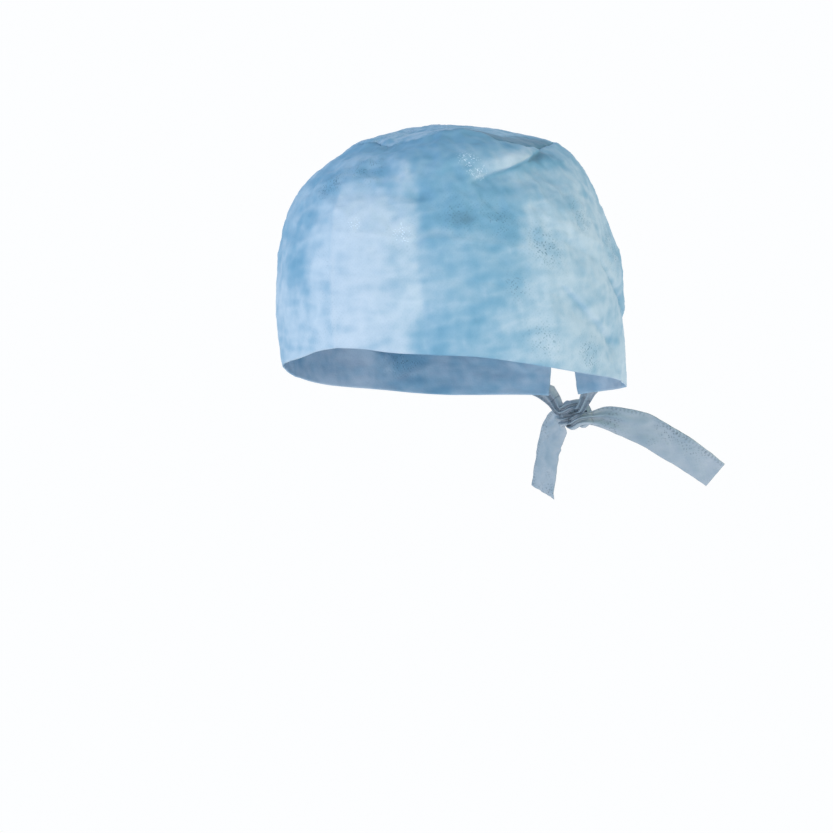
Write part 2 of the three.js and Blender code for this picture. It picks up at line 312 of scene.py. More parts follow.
KNOT_FRONT_FIRST = knot_route((1.6, 2.2), (-1.4, -5.0))
KNOT_BACK_FIRST = knot_route((-1.4, 5.0), (1.6, -2.2))
LEFT_TAIL = Rows(
    STATION,
    (10.6, 110.4, -38.4, 8.5, 0, 1),
    (18.3, 118.2, -40.2, 15, 0, 0.55),
    (32, 127.6, -47.6, 19, 0, 0.12),
    (42, 134.5, -56.2, 19.6, 0, 0),
    (52, 141.6, -66, 19, 0, 0),
    (62, 148.4, -77, 18, 0, 0),
)
RIGHT_TAIL = Rows(
    STATION,
    (10.6, 110.4, -38.4, 8.5, 0, 1),
    (17, 118.8, -41, 15, -4, 0.55),
    (27, 126.2, -49, 17.8, -8, 0.12),
    (35, 133, -59, 18, -10, 0),
    (42.5, 139, -71, 18, -10, 0),
    (48.5, 144, -83.5, 18, -8, 0),
)


def mix(a, b, t):
    return a + (b - a) * t


def step(low, high, value):
    """0 below low and 1 above high, with a smooth rise between."""
    t = np.clip((value - low) / (high - low), 0, 1)
    return t * t * (3 - 2 * t)


def rising(value, middle, soft):
    """0 well below the middle and 1 well above it."""
    return step(middle - soft, middle + soft, value)


def between(value, low, high, soft, to_soft=None):
    """1 between low and high, and 0 well outside them."""
    return rising(value, low, soft) * (1 - rising(value, high, to_soft or soft))


def fading(distance, reach, power=1):
    """1 where there is no distance, fading out over the reach."""
    return np.exp(-((np.abs(distance) / reach) ** power))


def unit(vectors):
    return vectors / np.maximum(np.linalg.norm(vectors, axis=-1, keepdims=True), 1e-9)


def ruffle(points, size, seed, octaves=2):
    """A smooth random field from about -1 to 1 over points, whose waves are about size long."""
    shift = Vector((seed * 7.3, seed * 3.1, seed * 5.7))
    flat = points.reshape(-1, 3) / size
    field = [noise.fractal(Vector(p) + shift, 0.6, 2.0, octaves) for p in flat]
    return np.array(field).reshape(points.shape[:-1])


def crumple(points, size, seed, octaves=2):
    """Like ruffle, with sharp ridges between hollows, as in crushed paper."""
    return 0.5 - 2.2 * np.abs(ruffle(points, size, seed, octaves))


def along_cloth(angle):
    """The distance along the cloth from the forehead to an angle."""
    return np.radians(angle) * FOLD_RADIUS


def line_relief(lines, angle, height, sharp, column="depth"):
    """How far a table's folds together push each place outwards. Sharp ones come to an edge. Another column
    is summed in the same way."""
    place = np.stack((along_cloth(angle), height), axis=-1)
    relief = np.zeros(height.shape)
    for line in lines:
        start = np.array((along_cloth(line["angle"]), line["height"]))
        end = np.array((along_cloth(line["to_angle"]), line["to_height"]))
        run = end - start
        share = (place - start) @ run / (run @ run)
        nearest = start + np.clip(share, 0, 1)[..., None] * run
        near = fading(np.linalg.norm(place - nearest, axis=-1), line["width"], 1.4 if sharp else 2)
        if sharp:
            near = near * (1 - step(0.55, 1.25, np.abs(share - 0.5) * 2))
        relief += line[column] * near
    return relief


def gathering(angle, points):
    """How deep the gathers at the crown seam are at each place: slight where the cloth is drawn tight."""
    tight = between(angle, 44, 122, soft=10, to_soft=16)
    return (0.45 + 0.9 * np.clip(ruffle(points, 34, 14) + 0.4, 0, 1)) * (1 - 0.75 * tight)


def panel_point(angle, height):
    """The panel's outside with its soft folds."""
    turned = np.radians(angle)
    ahead = np.cos(turned)
    front, back, side = (SECTIONS.at("height", name, height) for name in ("front", "back", "side"))
    point = np.stack((side * np.sin(turned), -np.where(ahead > 0, front, back) * ahead, height), axis=-1)
    outwards = unit(point * (1, 1, 0))
    return point + outwards * line_relief(SOFT_FOLDS, angle, height, sharp=False)[..., None]


def lengths_along(points, axis):
    """The distance travelled along a grid's rows or columns of points, starting from 0."""
    steps = np.linalg.norm(np.diff(points, axis=axis), axis=-1)
    start = np.zeros_like(np.take(steps, [0], axis=axis))
    return np.concatenate((start, np.cumsum(steps, axis=axis)), axis=axis)


def grid_normals(points):
    """Outward normals of a grid whose columns go round to the wearer's left and whose rows go up."""
    return unit(np.cross(np.gradient(points, axis=0), np.gradient(points, axis=1)))


def panel_places(columns, rows):
    """The angle and height of each point of the panel's grid, evenly spaced up every column."""
    turn = np.linspace(-1, 1, columns + 1)[:, None] * np.ones(rows + 1)
    share = np.linspace(0, 1, rows + 1)[None, :] * np.ones((columns + 1, 1))
    fine = np.linspace(0, 1, HEIGHT_SAMPLES)[None, :]
    whole = turn[:, :1] * 180 * np.ones_like(fine)
    rim, seam = RIM.at("angle", "height", np.abs(whole)), CROWN_SEAM.at("angle", "height", whole)
    fine_height = mix(rim, seam, fine)
    lengths = lengths_along(panel_point(whole, fine_height), 1)
    height = np.array(
        [np.interp(s * length[-1], length, h) for s, length, h in zip(share, lengths, fine_height)]
    )
    closed = np.minimum(1, share / SLIT["top"]) ** SLIT["spread"]
    half_slit = mix(SLIT["half_width"], SLIT["closed"], closed) / SECTIONS.at("height", "back", 0)
    return turn * (180 - np.degrees(half_slit)), height


def fold_line(line, away, facet_width):
    """A packing crease and the flat facets beside it."""
    return line["depth"] * fading(away, PACKING_CREASE_WIDTH) + line["facet"] * fading(away, facet_width)


def packing_relief(angle, up, down):
    """The creases of the flat pack. Those up the panel die away towards the crown."""
    relief = np.zeros(up.shape)
    reach = mix(1, 0.35, step(55, 105, up)) * step(0, 6, down)
    for line in UPRIGHT_CREASES:
        relief += fold_line(line, along_cloth(angle - line["angle"]), 15) * reach
    for line in LEVEL_CREASES:
        reach = between(angle, line["angle"], line["to_angle"], soft=12)
        relief += fold_line(line, up - line["above_rim"], 11) * reach
    return relief


def stitch_waves(angle, points):
    """The small waves that the stitching draws into the cloth beside the crown seam."""
    return np.sin(along_cloth(angle) / 1.15 + 5 * ruffle(points, 30, 4)) * 0.5


def slit_relief(angle, up, points):
    """The slit's edges, which wave where it is open and are drawn in where it is sewn shut."""
    from_middle = along_cloth(180 - np.abs(angle))
    is_open = 1 - step(0.7, 0.86, up / up[:, -1:])
    waves = is_open * (0.7 * ruffle(points, 17, 16) + 0.35)
    drawn_in = (1 - is_open) * 1.1 * fading(from_middle, 1.6)
    return fading(from_middle - from_middle[:1], 5) * (waves - drawn_in)


def panel_relief(settings, angle, height, points):
    """The panel's fine relief in millimetres. It is deeper where the cloth is slack or crushed."""
    up = lengths_along(points, 1)
    down = up[:, -1:] - up
    slack = mix(step(35, 85, up), 1, 0.65 * step(60, 150, np.abs(angle)))
    crushed = np.abs(dotted(angle, up)[0])
    creases = line_relief(CREASES, angle, height, sharp=True) + pleat(angle, height)[0]
    relief = (creases + packing_relief(angle, up, down)) * settings.crease_depth
    relief += ruffle(points, 52, 1) * mix(0.5, 1.4, slack)
    relief += crumple(points * (1, 1, 1.25), 24, 2, 3) * mix(0.2, 0.8, slack)
    relief += crumple(points, 8.5, 3) * (mix(0.07, 0.24, slack) + 0.16 * crushed)
    relief += crumple(points, 3.4, 7) * (0.03 + 0.1 * crushed)
    pucker = stitch_waves(angle, points) + ruffle(points * (1, 1, 0.2), 4.2, 5) * 0.8
    gather = np.sin(along_cloth(angle) / 3.1 + 5 * ruffle(points, 46, 15)) * step(0.1, 0.8, slack)
    by_seam = pucker * fading(down, 6) + gather * 0.35 * fading(down, 17)
    relief += by_seam * gathering(angle, points) * settings.pucker_depth
    relief += ruffle(points, 30, 6) * 0.5 * fading(up, 9) - 0.55 * fading(down, 1.3)
    return relief + slit_relief(angle, up, points)


def pleat(angle, height):
    """How far the pleat stands out at each place, and its painted light and shade: a painted highlight on
    its facet, and painted shade in its hollow and along its edge.
    """
    scale = np.array((along_cloth(1), 1))
    tip, end = np.array(PLEAT["tip"]) * scale, np.array(PLEAT["end"]) * scale
    run = end - tip
    place = np.stack((angle, height), axis=-1) * scale - tip
    share = place @ run / (run @ run)
    above = (place[..., 0] * -run[1] + place[..., 1] * run[0]) / -np.linalg.norm(run)
    above = above + ruffle(np.concatenate((place, share[..., None]), axis=-1), 16, 41) * 0.7
    width = mix(PLEAT["narrow"], PLEAT["wide"], np.clip(share, 0, 1))
    along = step(-0.05, 0.12, share) * (1 - step(0.93, 1.09, share))
    facet = step(-0.7, 0.7, above) * (1 - step(0.75, 1.5, above / width))
    hollow = (1 - step(-1.0, 0.6, above)) * fading(np.minimum(above, 0), 6.5)
    hollow = hollow * (1 - 0.7 * step(0.6, 1.0, share))
    edge = fading(above + 0.9, 1.1, power=2) * (1 - step(0.62, 0.95, share))
    relief = PLEAT["rise"] * facet * (1 - 0.5 * np.clip(above / width, 0, 1)) - PLEAT["hollow"] * hollow
    relief *= mix(0.45, 1, step(0, 0.4, share))
    return relief * along, (PLEAT["pale"] * facet - PLEAT["shade"] * (hollow + edge)) * along


def dotted(angle, up):
    """How plainly the dots show at each place, as painted glints below 0 and dark dots above, and the
    painted light and shade round them.
    """
    hard, tone = np.zeros(up.shape), np.zeros(up.shape)
    for patch in DOT_PATCHES:
        away = np.hypot(along_cloth(angle - patch["angle"]), up - patch["above_rim"])
        near = fading(away, patch["radius"], power=2.5)
        hard += near * patch["strength"]
        tone += near * patch["tone"]
    return np.clip(hard, -1, 1), tone


def panel_tone(angle, height, points):
    """How pale the cloth is painted at each place on the panel, about -1 to 1: random mottle, with painted
    light on facets and the pleat, and painted shade in hollows, creases and under the crown seam.
    """
    up = lengths_along(points, 1)
    around = along_cloth(angle)
    sideways, upwards = ruffle(points, 19, 17, 3), ruffle(points, 24, 18, 3)
    tone = np.zeros(up.shape)
    for facet in FACETS:
        soft, to_soft = facet["soft"], facet["to_soft"]
        tone += facet["tone"] * (
            rising(around + sideways * soft, along_cloth(facet["angle"]), soft)
            * (1 - rising(around + sideways * to_soft, along_cloth(facet["to_angle"]), to_soft))
            * rising(up + upwards * soft, facet["low"], soft)
            * (1 - rising(up + upwards * to_soft, facet["high"], to_soft))
        )
    # The pleat's painted highlight and shade, and a painted shade line under the crown seam.
    tone += pleat(angle, height)[1] - 0.4 * fading(up[:, -1:] - up, 1.6)
    tone += line_relief(CREASES, angle, height, sharp=True, column="tone") + dotted(angle, up)[1]
    tone += crumple(points * (1, 1, 3.2), 42, 19, 3) * 0.35
    return tone + crumple(points * (1.4, 1.4, 1), 20, 20, 3) * 0.25


def mesh_piece(name, points, faces, maps, tone, crushed):
    """A new mesh object. Points and maps, which are the points' places on the cloth, are in millimetres.
    Tone is how pale each point is painted, from -1 to 1: random mottle, with painted light and painted
    shade. Crushed is how plainly its bonding dots show."""
    mesh = bpy.data.meshes.new(name)
    mesh.from_pydata((points * MM).tolist(), [], faces)
    corners = np.empty(len(mesh.loops), int)
    mesh.loops.foreach_get("vertex_index", corners)
    mesh.uv_layers.new(name="cloth").uv.foreach_set("vector", (maps[corners] * MM).ravel())
    for attribute, values in (("tone", tone), ("crushed", crushed)):
        mesh.attributes.new(attribute, "FLOAT", "POINT").data.foreach_set("value", values.astype(float))
    mesh.update()
    piece = bpy.data.objects.new(name, mesh)
    bpy.context.scene.collection.objects.link(piece)
    return piece


def choose(piece):
    """Makes a piece the only one selected, and the active one."""
    bpy.ops.object.select_all(action="DESELECT")
    piece.select_set(True)
    bpy.context.view_layer.objects.active = piece


def grid_faces(columns, rows, ring=False):
    """Quads between a grid's points, listed column by column. A ring's last column joins its first."""
    spans = columns if ring else columns - 1
    return [
        (i * rows + j, (i + 1) % columns * rows + j, (i + 1) % columns * rows + j + 1, i * rows + j + 1)
        for i in range(spans)
        for j in range(rows - 1)
    ]


def give_thickness(piece, thickness):
    """Thickens a sheet inwards and shades it smooth."""
    choose(piece)
    wall = piece.modifiers.new("wall", "SOLIDIFY")
    wall.thickness = thickness
    wall.offset = -1
    bpy.ops.object.modifier_apply(modifier="wall")
    bpy.ops.object.shade_smooth()


def finish_piece(piece, node, material):
    """Puts a piece in its CAD node's place, on the one body, with its finish."""
    piece.data.materials.append(material)
    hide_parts(node)
    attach(piece, "root")


def seam_allowance(seam, inset):
    """Rows of points for the edge that is turned down inside the crown seam, as more columns of a grid."""
    inwards = unit((APEX - seam) * (1, 1, 0))
    turn = unit(inwards * 0.3 - (0, 0, 1))
    return np.stack([seam + inwards * inset + turn * depth for depth in ALLOWANCE_DEPTHS], axis=1)


def build_panel_points(settings):
    """The panel's grid: each point's angle and height, its place without the fine relief, and with it."""
    angle, height = panel_places(settings.columns, settings.rows)
    base = panel_point(angle, height)
    relief = panel_relief(settings, angle, height, base)
    return angle, height, base, base + grid_normals(base) * relief[..., None]


def math_operator(operation, reflected=False):
    """A method for one of Python's operators, which adds a Math node."""

    def operate(self, other):
        values = (other, self) if reflected else (self, other)
        return self.shader.maths(operation, *values)

    return operate


class Signal:
    """A number socket in a material. Python's arithmetic on it adds Math nodes."""

    def __init__(self, shader, socket):
        self.shader = shader
        self.socket = socket

    __add__, __radd__ = math_operator("ADD"), math_operator("ADD", reflected=True)
    __sub__, __rsub__ = math_operator("SUBTRACT"), math_operator("SUBTRACT", reflected=True)
    __mul__, __rmul__ = math_operator("MULTIPLY"), math_operator("MULTIPLY", reflected=True)

    def step(self, low, high, start=0.0, end=1.0):
        """The start value where this is below low and the end value above high, with a smooth change."""
        node = self.shader.node(
            "ShaderNodeMapRange",
            {"interpolation_type": "SMOOTHSTEP"},
            {"Value": self, "From Min": low, "From Max": high, "To Min": start, "To Max": end},
        )
        return Signal(self.shader, node.outputs[0])


class Shader:
    """The node tree of a material or a world, built by one method."""

    def __init__(self, owner):
        owner.use_nodes = True
        self.tree = owner.node_tree
        self.tree.nodes.clear()

    def node(self, kind, settings=None, sockets=None):
        """Adds a node, makes its settings, then fills its sockets with values, signals or other sockets."""
        node = self.tree.nodes.new(kind)
        for name, value in (settings or {}).items():
            setattr(node, name, value)
        for name, value in (sockets or {}).items():
            if isinstance(value, Signal):
                self.tree.links.new(value.socket, node.inputs[name])
            elif isinstance(value, bpy.types.NodeSocket):
                self.tree.links.new(value, node.inputs[name])
            else:
                node.inputs[name].default_value = value
        return node

    def maths(self, operation, *values):
        """A Math node on numbers or signals."""
        node = self.node("ShaderNodeMath", {"operation": operation}, dict(enumerate(values)))
        return Signal(self, node.outputs[0])

    def vectors(self, operation, *values):
        """A Vector Math node on places or colours."""
        node = self.node("ShaderNodeVectorMath", {"operation": operation}, dict(enumerate(values)))
        return node.outputs["Value" if operation == "LENGTH" else "Vector"]

    def stretched(self, place, scale, turn=0.0):
        """A place multiplied, then turned about its third axis."""
        sockets = {"Vector": place, "Rotation": (0, 0, turn), "Scale": scale}
        return self.node("ShaderNodeMapping", sockets=sockets).outputs[0]

    def attribute(self, name):
        """A value that a piece carries at each of its points."""
        return Signal(self, self.node("ShaderNodeAttribute", {"attribute_name": name}).outputs["Fac"])

    def noise(self, place, scale, detail=2.0, roughness=0.5):
        node = self.node(
            "ShaderNodeTexNoise",
            sockets={"Vector": place, "Scale": scale, "Detail": detail, "Roughness": roughness},
        )
        return Signal(self, node.outputs["Fac"])

    def blend(self, factor, first, second):
        """A colour between two others."""
        node = self.node("ShaderNodeMix", {"data_type": "RGBA"}, {0: factor, 6: first, 7: second})
        return node.outputs[2]


def linear(colour, share=1.0):
    """A colour property as a socket value, made lighter or darker by a share."""
    return (*(min(1.0, channel * share) for channel in colour), 1.0)


def bond_dots(shader, cloth, pitch):
    """The little pressed diamonds that bond a nonwoven: 1 in a dot and 0 between them."""
    wander = shader.node("ShaderNodeTexNoise", sockets={"Vector": cloth, "Scale": 330.0, "Detail": 1.0})
    drifting = shader.vectors("MULTIPLY_ADD", wander.outputs["Color"], (DOT_DRIFT, DOT_DRIFT, 0), cloth)
    cell = shader.vectors("FRACTION", shader.stretched(drifting, (1 / pitch,) * 3, math.radians(45)))
    centred = shader.vectors("SUBTRACT", cell, (0.5, 0.5, 0))
    away = shader.vectors("LENGTH", shader.vectors("MULTIPLY", centred, (1, 1, 0)))
    return 1 - Signal(shader, away).step(0.2, 0.34)


def nonwoven(name, deep, pale, roughness, dot_pitch, welded=False):
    """Point-bonded nonwoven cloth: cloudy fibres, dots where the cloth is crushed, and the tones that each
    piece carries, which are random mottle with painted light and painted shade.
    """
    material = bpy.data.materials.new(name)
    shader = Shader(material)
    place = shader.node("ShaderNodeTexCoord").outputs["Object"]
    cloth = shader.node("ShaderNodeUVMap", {"uv_map": "cloth"}).outputs[0]
    tone, crushed = shader.attribute("tone"), shader.attribute("crushed")
    levelled = shader.stretched(place, (1.0, 1.0, 2.0))
    clouds = shader.noise(levelled, scale=24.0, detail=3.0, roughness=0.6)
    blotches = shader.noise(levelled, scale=110.0, detail=4.0, roughness=0.65)
    strands, crossing = (shader.stretched(cloth, scale) for scale in ((1.0, 0.28, 1.0), (0.25, 1.0, 1.0)))
    fibres = shader.noise(strands, scale=1700.0, detail=3.0, roughness=0.65)
    crossed = shader.noise(crossing, scale=1400.0, detail=3.0, roughness=0.65)
    broken = shader.noise(place, scale=420.0).step(0.45, 0.56)
    pressed = bond_dots(shader, cloth, dot_pitch) * (0.06 + shader.maths("ABSOLUTE", crushed) * broken)
    glints = pressed * (0 - crushed).step(0.05, 0.5)
    # The share mixes random mottle with the painted light and painted shade that each piece carries.
    share = tone * 0.6 + clouds * 0.27 + blotches * 0.25 + fibres * 0.18 + 0.09
    colour = shader.blend(share.step(-0.25, 1.25), linear(deep), linear(pale))
    # Painted shade: where the share falls below 0, in creases and hollows, the deep colour darkens further.
    colour = shader.blend((0 - share).step(0.0, 0.8), colour, linear(deep, PAINTED_HOLLOW_SHADE))
    # The dark dots are the bonding pattern, with painted shade on crushed crinkles. The pale ones are
    # painted glints.
    colour = shader.blend((pressed - glints) * 0.75, colour, linear(deep, DARK_DOT))
    colour = shader.blend(glints * 0.7, colour, linear(pale, GLINT))
    height = fibres * 0.35 + crossed * 0.3 - pressed * 0.9 + blotches * 0.7
    if welded:
        height, colour = weld_rows(shader, cloth, height, colour, deep)
    bump = shader.node("ShaderNodeBump", sockets={"Strength": 0.6, "Distance": 0.0003, "Height": height})
    surface = shader.node(
        "ShaderNodeBsdfPrincipled",
        sockets={
            "Base Color": colour,
            "Roughness": fibres * 0.14 + (roughness - 0.07) - pressed * 0.12,
            "Normal": bump.outputs[0],
            "Sheen Weight": 0.03,
            "Sheen Roughness": 0.45,
            "Specular IOR Level": 0.16,
        },
    )
    shader.node("ShaderNodeOutputMaterial", sockets={"Surface": surface.outputs[0]})
    return material


def weld_rows(shader, cloth, height, colour, deep):
    """Rows of melted bars: one along a strap's folded edge, and two across it where it joins the panel."""
    parts = shader.node("ShaderNodeSeparateXYZ", sockets={0: cloth})
    along, across = Signal(shader, parts.outputs[0]), Signal(shader, parts.outputs[1])
    rows = []
    for run, side, place in ((along, across, 0.0015), (across, along, 0.0022), (across, along, 0.0050)):
        bars = shader.maths("FRACT", run * (1 / BAR_PITCH))
        bar = bars.step(0.3, 0.42) * (1 - bars.step(0.72, 0.84))
        away = shader.maths("ABSOLUTE", side - place)
        rows.append((1 - away.step(0.0006, 0.0009)) * bar)
    row = shader.maths("MAXIMUM", shader.maths("MAXIMUM", rows[0], rows[1]), rows[2])
    row = row * shader.noise(cloth, scale=90.0).step(0.3, 0.6)
    return height - row * 1.8, shader.blend(row * 0.32, colour, linear(deep, WELD))


def strap_stations(knot, tail):
    """One table's worth of stations for a whole strap, in millimetres: start, knot and tail."""
    names = list(STRAP_START.columns)
    parts = []
    for rows, middle in ((STRAP_START, 0), (knot, KNOT_MIDDLE), (tail, 0)):
        values = np.stack([rows[name] for name in names], axis=-1)
        values[:, :3] += middle
        parts.append(values)
    return np.concatenate(parts)


def smooth_route(values, spacing):
    """Points about spacing apart on a smooth curve through rows of values that start with a place."""
    route = []
    last = len(values) - 1
    for i in range(last):
        before, a, b, after = values[max(i - 1, 0)], values[i], values[i + 1], values[min(i + 2, last)]
        steps = max(2, round(np.linalg.norm(b[:3] - a[:3]) / spacing))
        for t in np.arange(steps) / steps:
            curve = (
                2 * a + (b - before) * t
                + (2 * before - 5 * a + 4 * b - after) * t**2
                + (3 * a - before - 3 * b + after) * t**3
            )
            route.append(0.5 * curve)
    route.append(values[last])
    return np.array(route)


def strap_lift(side, length, gathered, seed):
    """How far the cloth lifts from a strap's middle plane, from side -1 to side 1: pleats where it is
    gathered, and ruffles, crinkles, slanting wrinkles and a slight bow where it is flat."""
    spots = np.stack((side * STRAP_WIDTH / 2, side * 0 + length, side * 0 + seed * 50.0), axis=-1)
    slanting = spots * (1, 0.3, 1) + spots[:, 1:2] * (0.45, 0, 0)
    lift = (np.sin(side * math.pi * 2.5 + 0.6) * 1.35 + np.sin(side * 13 + 2) * 0.2) * gathered
    lift += ruffle(spots * (1, 0.8, 1), 8, seed) * mix(0.55, 0.2, gathered)
    lift += crumple(spots, 3.6, seed + 1) * 0.12
    lift += crumple(spots * (1, 0.6, 1), 13, seed + 2) * 0.5
    lift += crumple(slanting, 7, seed + 3) * mix(0.3, 0.9, gathered**0.4) * (1 - gathered)
    return lift + 0.5 * (1 - side**2) * (1 - gathered) * math.sin(length / 17 + seed)


def closed_ring(front, back):
    """A ring out along the front of a section and home along its back, whose ends are the front's."""
    return np.concatenate((front, back[-2:0:-1]))


def strap_rings(stations, half_thickness, seed):
    """Cross-sections along a strap: rings of points, the points' places on the cloth and lifts, and each
    section's distance along the strap."""
    route = smooth_route(stations, SECTION_SPACING)
    middle, width, lean = route[:, :3], route[:, 3], np.radians(route[:, 4])
    gathered = np.clip(route[:, 5], 0, 1)
    run = unit(np.gradient(middle, axis=0))
    out = unit(np.array((0.0, 1.0, 0.0)) - run * run[:, 1:2])
    across = np.cross(out, run)
    across, out = (
        across * np.cos(lean)[:, None] + out * np.sin(lean)[:, None],
        out * np.cos(lean)[:, None] - across * np.sin(lean)[:, None],
    )
    length = lengths_along(middle[:, None], 0)[:, 0]
    side = np.linspace(-1, 1, POINTS_ACROSS)
    thickness = half_thickness * np.sqrt(np.clip(1 - np.abs(side) ** EDGE_SQUARENESS, 0, 1))
    rings, maps, lifts = [], [], []
    for i, point in enumerate(middle):
        lift = strap_lift(side, length[i], gathered[i], seed)
        sheet = point + across[i] * (side * width[i] / 2)[:, None]
        front = sheet + out[i] * (lift + thickness)[:, None]
        back = sheet + out[i] * (lift - thickness)[:, None]
        place = np.stack((side * 0 + length[i], (side + 1) * STRAP_WIDTH / 2), axis=-1)
        rings.append(closed_ring(front, back))
        maps.append(closed_ring(place, place))
        lifts.append(closed_ring(lift, lift))
    return np.array(rings), np.array(maps), np.array(lifts), length


def strap_piece(name, rings, maps, lifts):
    """A closed strip of cloth through its rings, capped at both ends. Painted shade darkens its hollows,
    and painted light makes its raised folds paler.
    """
    count, around = rings.shape[:2]
    faces = [
        (i + j, i + (j + 1) % around, i + around + (j + 1) % around, i + around + j)
        for i in range(0, (count - 1) * around, around)
        for j in range(around)
    ]
    for start in (0, (count - 1) * around):
        for j in range(around // 2):
            corners = (start + j, start + (around - j) % around, start + around - j - 1, start + j + 1)
            cap = tuple(dict.fromkeys(corners))  # at either edge, two of the four are one point
            faces.append(cap if start == 0 else cap[::-1])
    points = rings.reshape(-1, 3)
    # Painted light on the strap's raised folds and painted shade in its hollows, with random mottle.
    tone = np.clip(lifts.ravel(), -1, 0.8) * 0.5 + crumple(points, 22, 31, 3) * 0.35
    crushed = np.clip(ruffle(points, 18, 33) * 2, 0, 1)
    return mesh_piece(name, points, faces, maps.reshape(-1, 2), tone, crushed)


def right_way_out(piece):
    """Turns a closed piece's faces outwards and shades it smooth."""
    choose(piece)
    bpy.ops.object.mode_set(mode="EDIT")
    bpy.ops.mesh.select_all(action="SELECT")
    bpy.ops.mesh.normals_make_consistent(inside=False)
    bpy.ops.object.mode_set(mode="OBJECT")
    bpy.ops.object.shade_smooth()


def length_property(name, description, default):
    """A small length in metres, which a user can change."""
    return bpy.props.FloatProperty(
        name=name, description=description, default=default, unit="LENGTH", precision=5
    )


def colour_property(name, description, default):
    """A colour in linear light, which a user can change."""
    return bpy.props.FloatVectorProperty(
        name=name, description=description, default=default, subtype="COLOR"
    )


class ClothSettings(bpy.types.PropertyGroup):
    """Sizes of the cap's cloth."""

    thickness: length_property("Thickness", "How thick the cap's cloth is", 0.00045)
    strap_thickness: length_property("Strap thickness", "A strap, folded double", 0.0009)
    crease_depth: bpy.props.FloatProperty(
        name="Crease depth", description="Scales every crease and packing fold", default=1.0
    )
    pucker_depth: bpy.props.FloatProperty(
        name="Pucker depth", description="Scales the gathers beside the crown seam", default=0.5
    )
    dot_pitch: length_property("Dot pitch", "Distance between bonding dots", 0.0016)
    columns: bpy.props.IntProperty(name="Columns", description="Faces round the panel", default=360)
    rows: bpy.props.IntProperty(name="Rows", description="Faces up the panel", default=125)
    crown_rings: bpy.props.IntProperty(name="Crown rings", description="From seam to apex", default=44)


class ColourSettings(bpy.types.PropertyGroup):
    """Colours of the cap and the floor."""

    # The two cloth colours are the ends of the cloth's random mottle and of its painted light and shade.
    # The pale one, brightened, also makes painted glints.
    cloth: colour_property("Cloth", "The cloth where its fibres are thin", (0.138, 0.312, 0.485))
    cloth_pale: colour_property("Pale cloth", "The cloth where fibres are thick", (0.45, 0.56, 0.695))
    # The two strap colours are the ends of the straps' mottle and of their painted light and shade. The
    # pale one, brightened, also makes painted glints.
    strap: colour_property("Strap", "The straps' cloth", (0.212, 0.30, 0.385))
    strap_pale: colour_property("Pale strap", "The straps' paler fibres", (0.37, 0.43, 0.51))
    floor: colour_property("Floor", "The studio floor", (0.9, 0.9, 0.9))


class SCRUBCAP_OT_stage(bpy.types.Operator):
    """Makes the camera, the soft studio lights and the pale floor"""

    bl_idname = "scrub_cap.stage"
    bl_label = "Studio"

    def execute(self, context):
        make_camera(context.scene)
        make_lights(context.scene)
        make_studio_walls(context.scene)
        make_floor(context.scene.scrub_cap_colours)
        return {"FINISHED"}


class SCRUBCAP_OT_side_panel(bpy.types.Operator):
    """Makes the side panel, with its creases, its puckers and the open slit at the nape"""

    bl_idname = "scrub_cap.side_panel"
    bl_label = "Side panel"

    def execute(self, context):
        make_side_panel(context.scene.scrub_cap_cloth, cap_material())
        return {"FINISHED"}


class SCRUBCAP_OT_crown(bpy.types.Operator):
    """Makes the oval crown and its seam with the side panel"""

    bl_idname = "scrub_cap.crown"
    bl_label = "Crown"

    def execute(self, context):
        make_crown(context.scene.scrub_cap_cloth, cap_material())
        return {"FINISHED"}


class SCRUBCAP_OT_straps(bpy.types.Operator):
    """Makes both straps: the ties on the panel, the knot at the nape and the loose ends"""

    bl_idname = "scrub_cap.straps"
    bl_label = "Straps and knot"

    def execute(self, context):
        make_straps(context.scene.scrub_cap_cloth, strap_material())
        return {"FINISHED"}


class SCRUBCAP_PT_panel(bpy.types.Panel):
    """The scrub cap's settings and pieces"""

    bl_label = "Scrub Cap"
    bl_space_type = "VIEW_3D"
    bl_region_type = "UI"
    bl_category = "Scrub Cap"

    def draw(self, context):
        for group in (context.scene.scrub_cap_cloth, context.scene.scrub_cap_colours):
            for name in group.__annotations__:
                self.layout.prop(group, name)
        for operator in OPERATORS:
            self.layout.operator(operator.bl_idname)


def cap_material():
    """The cap's cloth, which the panel and the crown share."""
    colours, cloth = bpy.context.scene.scrub_cap_colours, bpy.context.scene.scrub_cap_cloth
    made = bpy.data.materials.get("cap nonwoven")
    return made or nonwoven("cap nonwoven", colours.cloth, colours.cloth_pale, 0.74, cloth.dot_pitch)


def strap_material():
    """The straps' cloth, with its welds."""
    colours, cloth = bpy.context.scene.scrub_cap_colours, bpy.context.scene.scrub_cap_cloth
    return nonwoven("strap nonwoven", colours.strap, colours.strap_pale, 0.7, cloth.dot_pitch, welded=True)


def make_side_panel(settings, material):
    angle, height, base, points = build_panel_points(settings)
    tone = panel_tone(angle, height, base)
    crushed = dotted(angle, lengths_along(base, 1))[0]
    points = np.concatenate((points, seam_allowance(points[:, -1], 0.0)), axis=1)
    more = ((0, 0), (0, len(ALLOWANCE_DEPTHS)))
    around = along_cloth(angle + 180)
    around, tone, crushed = (np.pad(values, more, mode="edge") for values in (around, tone, crushed))
    maps = np.stack((around, lengths_along(points, 1)), axis=-1)
    piece = mesh_piece(
        "side_panel_cloth",
        points.reshape(-1, 3),
        grid_faces(*points.shape[:2]),
        maps.reshape(-1, 2),
        tone.ravel(),
        crushed.ravel(),
    )
    give_thickness(piece, settings.thickness)
    finish_piece(piece, "side_panel", material)


